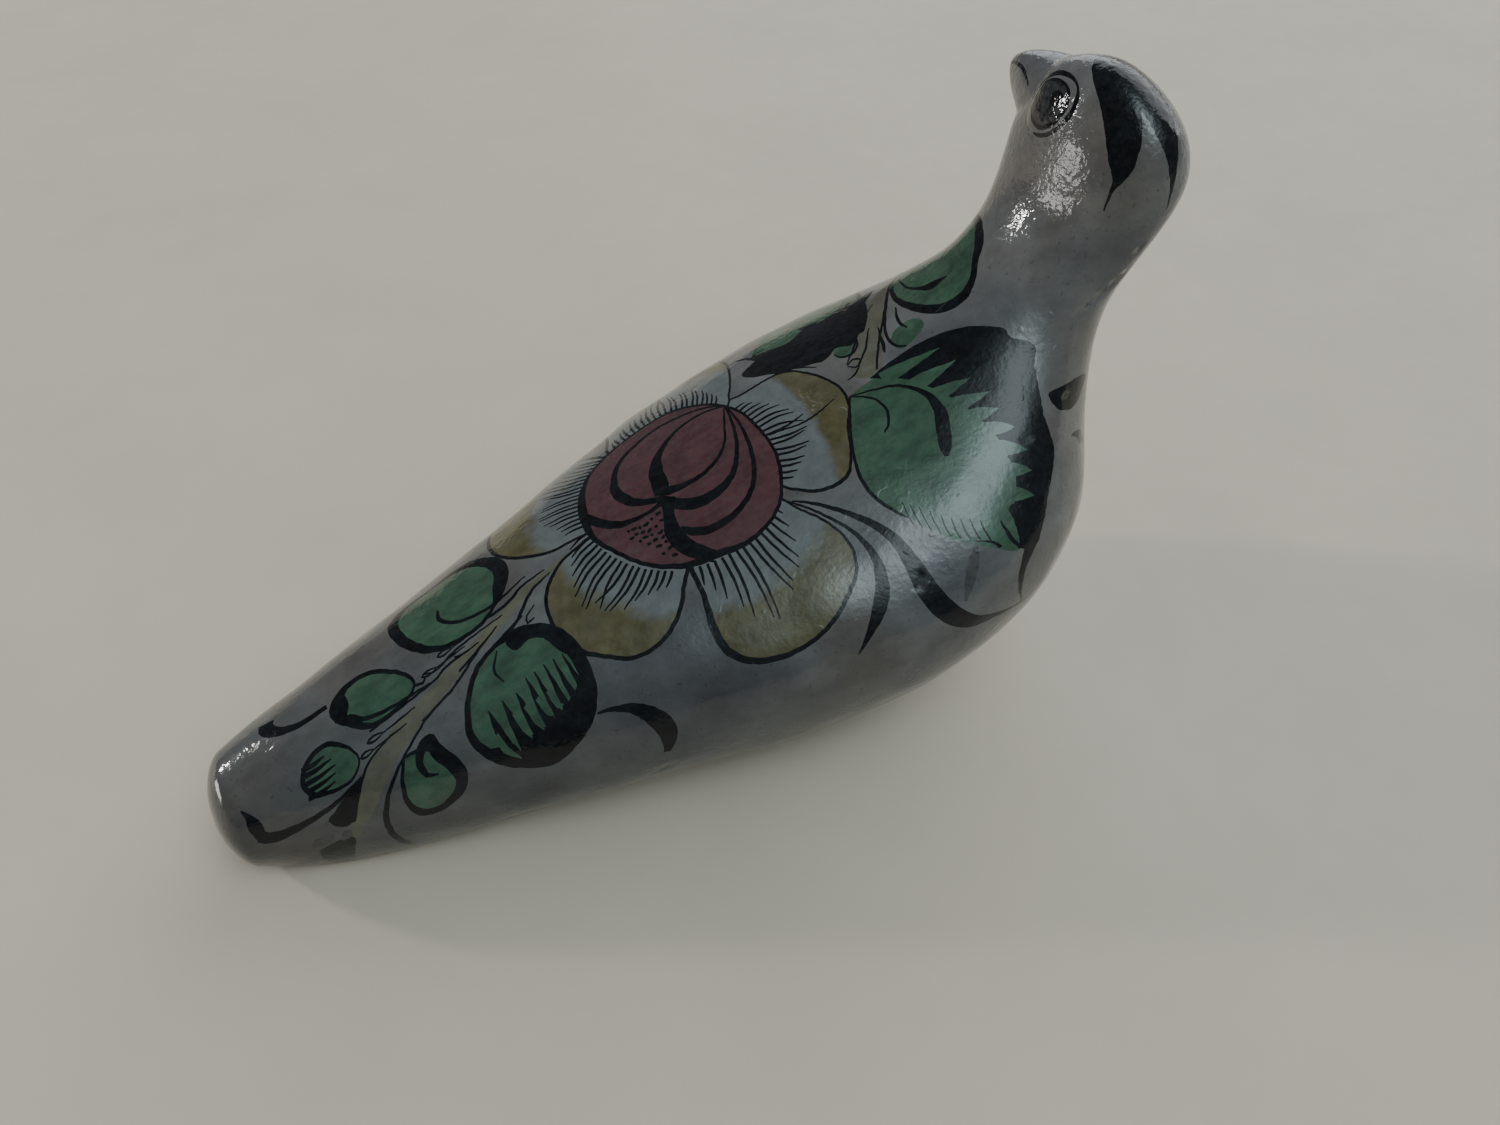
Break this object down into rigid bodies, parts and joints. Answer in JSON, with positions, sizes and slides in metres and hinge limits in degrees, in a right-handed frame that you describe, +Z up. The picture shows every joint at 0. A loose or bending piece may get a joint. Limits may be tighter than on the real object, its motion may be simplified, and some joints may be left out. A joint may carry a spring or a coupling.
{
  "type": "bird-shaped ocarina",
  "caption": "Hollow clay dove with its head turned back, a flat base and a whistle mouthpiece in the tail.",
  "frame": {"origin": "on the ground under the middle of the whole bird's box", "axes": "+X from the tail to the breast, +Y to the bird's left, where the head is turned, +Z up"},
  "size_m": [0.2036, 0.0922, 0.123],
  "materials": {
    "burnished_clay": "burnished and varnished grey-brown clay with painted slip decoration",
    "black_slip": "glossy blue-black slip",
    "joining_slip": "matt fired joining slip"
  },
  "bodies": {
    "root": {"body_shell_left": "burnished_clay", "body_shell_right": "burnished_clay", "seam_slip_back": "joining_slip", "seam_slip_belly": "joining_slip", "head_shell": "burnished_clay", "neck_joint_slip": "joining_slip", "beak": "burnished_clay", "eye_left": "black_slip", "eye_right": "black_slip", "tail_mouthpiece": "burnished_clay", "tail_joint_slip": "joining_slip", "windway_cover": "burnished_clay", "labium_wedge": "burnished_clay"}
  },
  "joints": []
}
